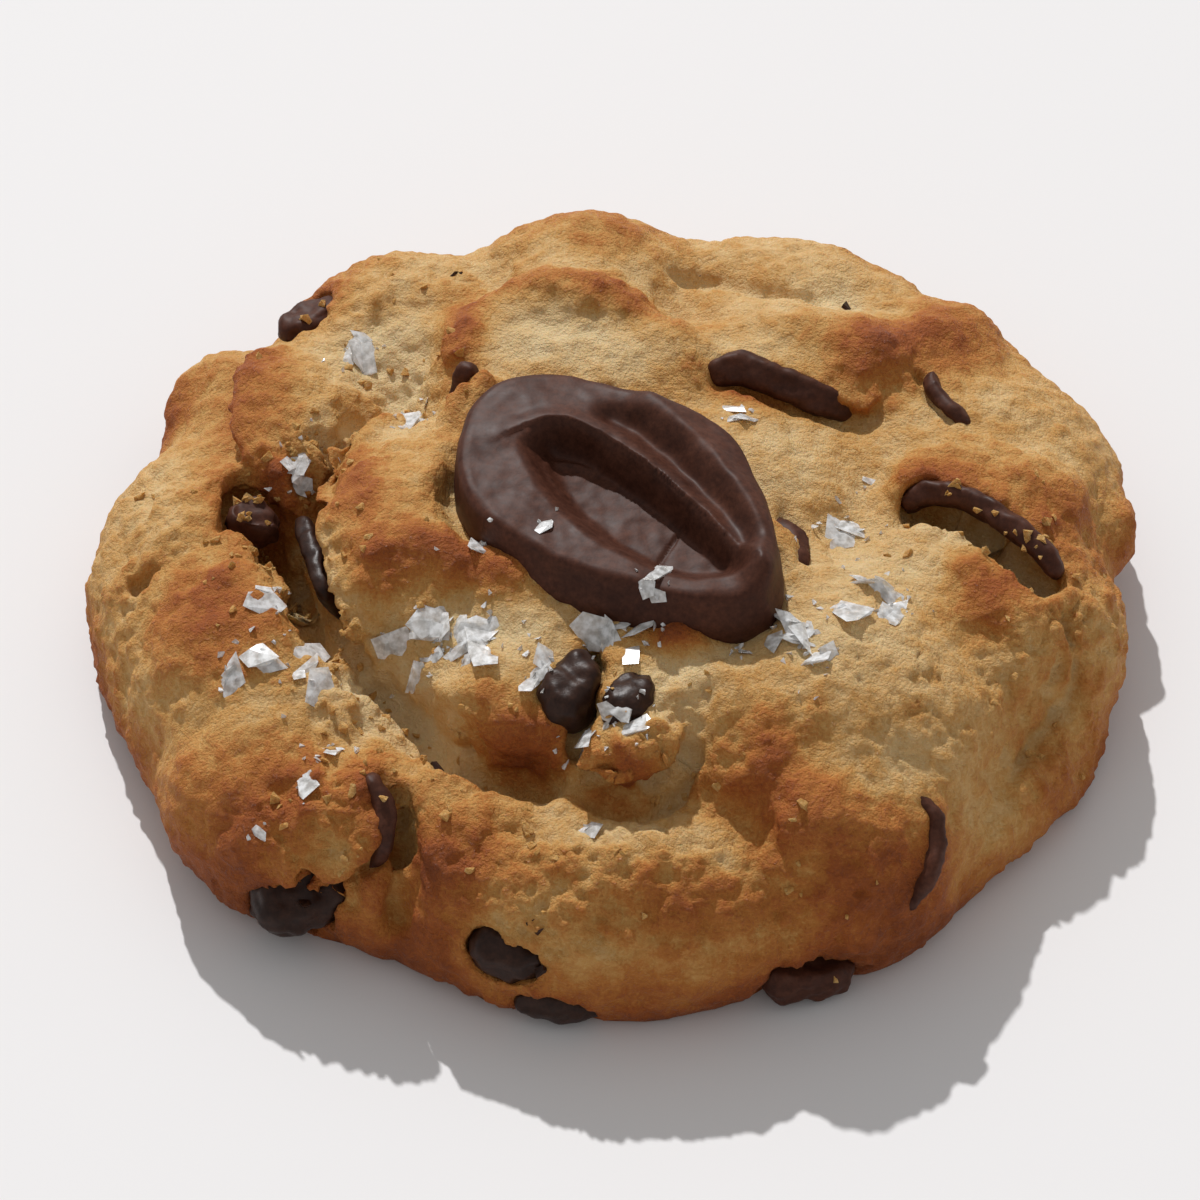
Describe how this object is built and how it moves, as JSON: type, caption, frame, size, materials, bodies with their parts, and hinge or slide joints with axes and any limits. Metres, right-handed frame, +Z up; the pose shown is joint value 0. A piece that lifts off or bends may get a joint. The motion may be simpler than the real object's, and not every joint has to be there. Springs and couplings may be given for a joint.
{
  "type": "chocolate chip cookie",
  "caption": "Thick round baked cookie with a lumpy, cracked top, bedded dark chocolate pieces and a large oval chocolate disc on top.",
  "frame": {"origin": "middle of the footprint, on the flat underside", "axes": "+Z up; +X to the right along the longest extent; -Y towards the front, where the dough cracked into a gully"},
  "size_m": [0.0896, 0.082, 0.0256],
  "materials": {
    "baked_dough": "matt, sandy baked dough, pale gold with browned crests",
    "dark_chocolate": "satin dark chocolate"
  },
  "bodies": {
    "root": {"dough": "baked_dough", "chocolate_disc": "dark_chocolate", "chocolate_under_disc": "dark_chocolate", "chocolate_wedge": "dark_chocolate", "chocolate_back_right": "dark_chocolate", "chocolate_right_sliver": "dark_chocolate", "chocolate_mouth": "dark_chocolate", "chocolate_right_edge": "dark_chocolate", "chocolate_front_right": "dark_chocolate", "chocolate_front_base": "dark_chocolate", "chocolate_front_low": "dark_chocolate", "chocolate_front_slit": "dark_chocolate", "chocolate_corner": "dark_chocolate", "chocolate_left_sliver": "dark_chocolate", "chocolate_centre_left": "dark_chocolate", "chocolate_centre_right": "dark_chocolate", "chocolate_crevice": "dark_chocolate", "chocolate_crevice_curl": "dark_chocolate", "chocolate_back_left": "dark_chocolate"}
  },
  "joints": []
}
